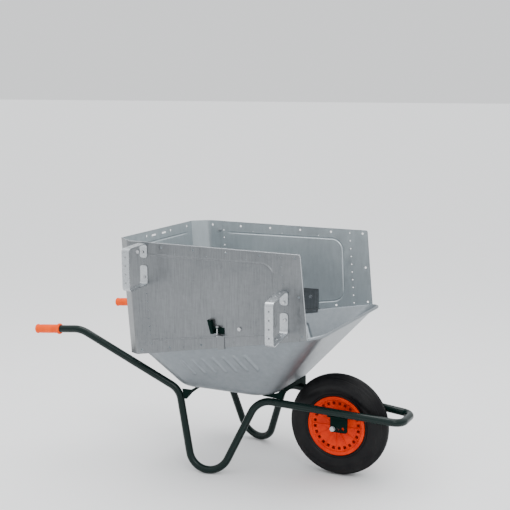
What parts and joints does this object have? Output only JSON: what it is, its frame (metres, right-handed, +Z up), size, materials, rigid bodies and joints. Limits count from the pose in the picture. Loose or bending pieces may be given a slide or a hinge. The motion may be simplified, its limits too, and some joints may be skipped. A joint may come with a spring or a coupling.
{
  "type": "wheelbarrow",
  "caption": "Garden wheelbarrow with a pressed steel tray, bolt-on side extension, tool-holder hoops, bent-tube frame and an air tyre.",
  "frame": {"origin": "Middle of the overall box, on the ground", "axes": "+X from the handles towards the wheel, +Y to the user's left, +Z up"},
  "size_m": [1.4968, 0.8183, 0.918],
  "materials": {
    "frame_paint": "glossy very dark green paint",
    "galvanised_sheet": "galvanised sheet, faint brushing and spangle",
    "zinc_plate": "bright zinc plate",
    "orange_plastic": "satin orange plastic",
    "tyre_rubber": "black rubber with a soft sheen",
    "tube_rubber": "matt black rubber",
    "black_plastic": "matt black plastic"
  },
  "bodies": {
    "barrow": {"axle_bolt": "zinc_plate", "axle_nut": "zinc_plate", "front_cross_member": "frame_paint", "front_hoop": "galvanised_sheet", "front_hoop_lower_bolt": "zinc_plate", "front_hoop_lower_nut": "zinc_plate", "front_hoop_upper_bolt": "zinc_plate", "front_hoop_upper_nut": "zinc_plate", "front_left_tray_bolt": "zinc_plate", "front_left_tray_nut": "zinc_plate", "front_right_tray_bolt": "zinc_plate", "front_right_tray_nut": "zinc_plate", "left_axle_bracket": "frame_paint", "left_axle_spacer": "zinc_plate", "left_axle_washer": "zinc_plate", "left_clamp_bracket": "frame_paint", "left_clamp_screw": "zinc_plate", "left_clamp_strap": "galvanised_sheet", "left_corner_bolt": "zinc_plate", "left_corner_nut": "zinc_plate", "left_frame_tube": "frame_paint", "left_grip": "orange_plastic", "left_hook_bolt": "zinc_plate", "left_hook_nut": "zinc_plate", "left_rim_hook": "galvanised_sheet", "left_side_panel": "galvanised_sheet", "rear_cross_member": "frame_paint", "rear_hoop": "galvanised_sheet", "rear_hoop_lower_bolt": "zinc_plate", "rear_hoop_lower_nut": "zinc_plate", "rear_hoop_upper_bolt": "zinc_plate", "rear_hoop_upper_nut": "zinc_plate", "rear_left_tray_bolt": "zinc_plate", "rear_left_tray_nut": "zinc_plate", "rear_panel": "galvanised_sheet", "rear_right_tray_bolt": "zinc_plate", "rear_right_tray_nut": "zinc_plate", "right_axle_bracket": "frame_paint", "right_axle_spacer": "zinc_plate", "right_axle_washer": "zinc_plate", "right_clamp_bracket": "frame_paint", "right_clamp_screw": "zinc_plate", "right_clamp_strap": "galvanised_sheet", "right_corner_bolt": "zinc_plate", "right_corner_nut": "zinc_plate", "right_frame_tube": "frame_paint", "right_grip": "orange_plastic", "right_hook_bolt": "zinc_plate", "right_hook_nut": "zinc_plate", "right_rim_hook": "galvanised_sheet", "right_side_panel": "galvanised_sheet", "tray": "galvanised_sheet"},
    "wheel": {"tyre": "tyre_rubber", "inner_tube": "tube_rubber", "rim": "orange_plastic", "valve_stem": "tube_rubber", "valve_cap": "black_plastic", "left_wheel_bush": "black_plastic", "right_wheel_bush": "black_plastic"}
  },
  "joints": [
    {"name": "wheel_spin", "type": "hinge", "parent": "barrow", "child": "wheel", "pos_m": [0.4621, 0.0581, 0.2], "axis": [0, 1, 0], "continuous": true}
  ]
}
